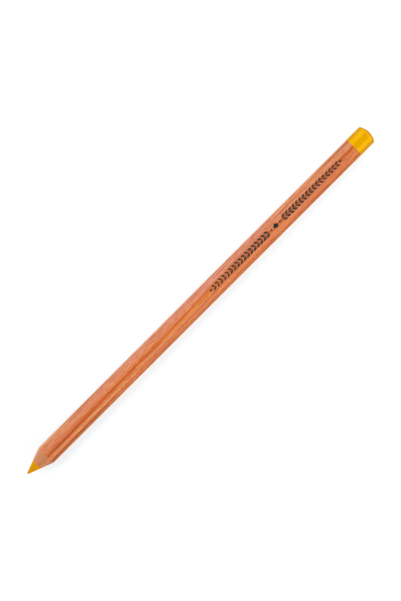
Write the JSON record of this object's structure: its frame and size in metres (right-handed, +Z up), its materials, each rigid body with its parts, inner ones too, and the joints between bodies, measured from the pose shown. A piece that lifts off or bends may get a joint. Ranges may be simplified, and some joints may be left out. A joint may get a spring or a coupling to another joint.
{
  "type": "pastel pencil",
  "caption": "Round wood-cased pastel pencil with a sharpened cone, a thick soft pastel core and a domed, lacquer-dipped rear end.",
  "frame": {"origin": "on the surface that the pencil lies on, below the middle of its length", "axes": "+X along the pencil from the writing tip to the dipped end, +Y across it in the plane of the glued joint, +Z up from the surface it lies on"},
  "size_m": [0.175, 0.0078, 0.0077],
  "materials": {
    "cedar": "satin",
    "pastel": "matte",
    "lacquer": "gloss",
    "stamp": "satin"
  },
  "bodies": {
    "root": {"upper_slat": "cedar", "lower_slat": "cedar", "pastel_core": "pastel", "dipped_end": "lacquer"}
  },
  "joints": []
}
